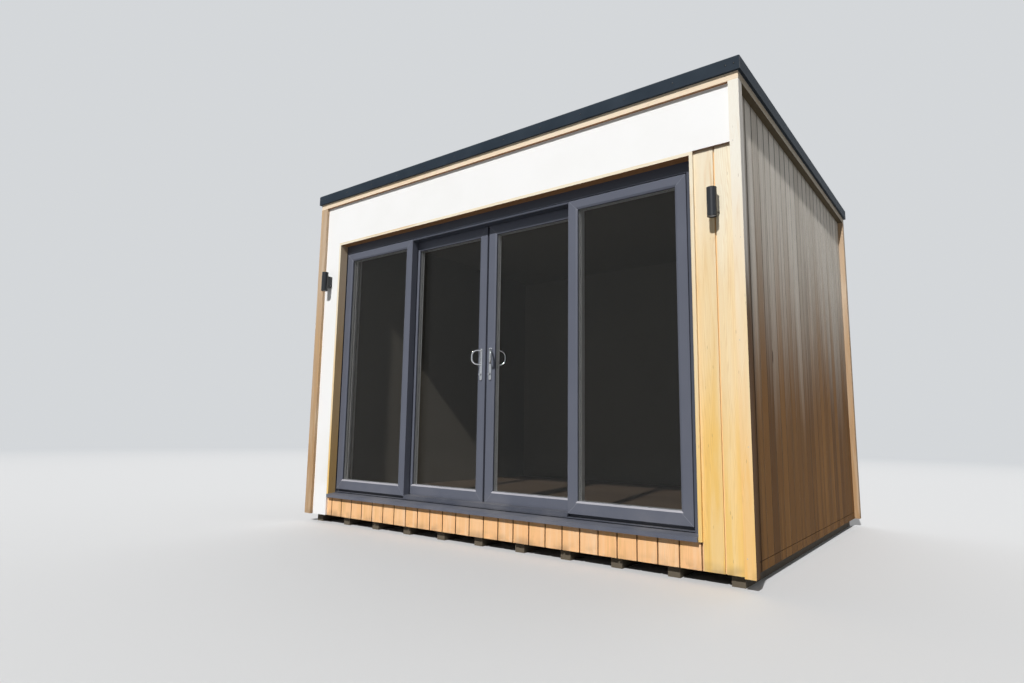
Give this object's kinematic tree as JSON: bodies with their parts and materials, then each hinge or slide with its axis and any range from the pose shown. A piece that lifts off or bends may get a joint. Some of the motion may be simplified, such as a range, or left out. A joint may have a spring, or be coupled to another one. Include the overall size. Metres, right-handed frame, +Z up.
{
  "type": "garden office pod",
  "caption": "Flat-roofed timber garden office with a wide sliding patio door, white rendered front, vertical board cladding, black roof edge and wall lights.",
  "frame": {"origin": "centre of the building's footprint, on the level ground under the bearers", "axes": "+X along the front from left to right as seen from outside, +Y from the door into the building, +Z up"},
  "size_m": [3.708, 3.082, 2.815],
  "materials": {
    "structural_timber": "matte",
    "floor_timber": "satin",
    "inside_lining": "matte",
    "roof_rubber": "matte",
    "fascia_black": "satin",
    "trim_timber": "matte",
    "cladding_timber": "matte",
    "white_board": "matte",
    "frame_pvc": "satin",
    "clear_glass": "polished",
    "black_seal": "matte",
    "roller_steel": "brushed",
    "handle_chrome": "polished",
    "light_metal": "satin"
  },
  "bodies": {
    "building": {"bearers": "structural_timber", "corner_post_front_left": "trim_timber", "corner_post_front_right": "trim_timber", "corner_post_rear_left": "trim_timber", "corner_post_rear_right": "trim_timber", "door_frame": "frame_pvc", "door_sill": "frame_pvc", "door_threshold": "frame_pvc", "fascia_front": "fascia_black", "fascia_left": "fascia_black", "fascia_rear": "fascia_black", "fascia_right": "fascia_black", "floor_finish": "floor_timber", "floor_structure": "structural_timber", "front_header": "inside_lining", "front_left_pier": "inside_lining", "front_right_cladding": "cladding_timber", "front_right_pier": "inside_lining", "head_infill": "frame_pvc", "head_lining": "trim_timber", "left_cladding": "cladding_timber", "left_lining": "trim_timber", "left_sash": "frame_pvc", "left_sash_glass": "clear_glass", "left_wall": "inside_lining", "left_wall_light": "light_metal", "rear_cladding": "cladding_timber", "rear_wall": "inside_lining", "right_cladding": "cladding_timber", "right_lining": "trim_timber", "right_sash": "frame_pvc", "right_sash_glass": "clear_glass", "right_wall": "inside_lining", "right_wall_light": "light_metal", "roof_membrane": "roof_rubber", "roof_structure": "inside_lining", "sill_cladding": "cladding_timber", "threshold_infill": "frame_pvc", "top_trim_front": "trim_timber", "top_trim_left": "trim_timber", "top_trim_rear": "trim_timber", "top_trim_right": "trim_timber", "white_band": "white_board", "white_strip": "white_board"},
    "left_leaf": {"left_leaf": "frame_pvc", "left_leaf_glass": "clear_glass", "left_leaf_handles": "handle_chrome", "left_leaf_rollers": "roller_steel"},
    "right_leaf": {"right_leaf": "frame_pvc", "right_leaf_glass": "clear_glass", "right_leaf_handles": "handle_chrome", "right_leaf_rollers": "roller_steel", "meeting_strip": "black_seal"}
  },
  "joints": [
    {"name": "left_leaf_slide", "type": "slide", "parent": "building", "child": "left_leaf", "axis": [-1, 0, 0], "range_m": [0, 0.6]},
    {"name": "right_leaf_slide", "type": "slide", "parent": "building", "child": "right_leaf", "axis": [1, 0, 0], "range_m": [0, 0.6]}
  ]
}
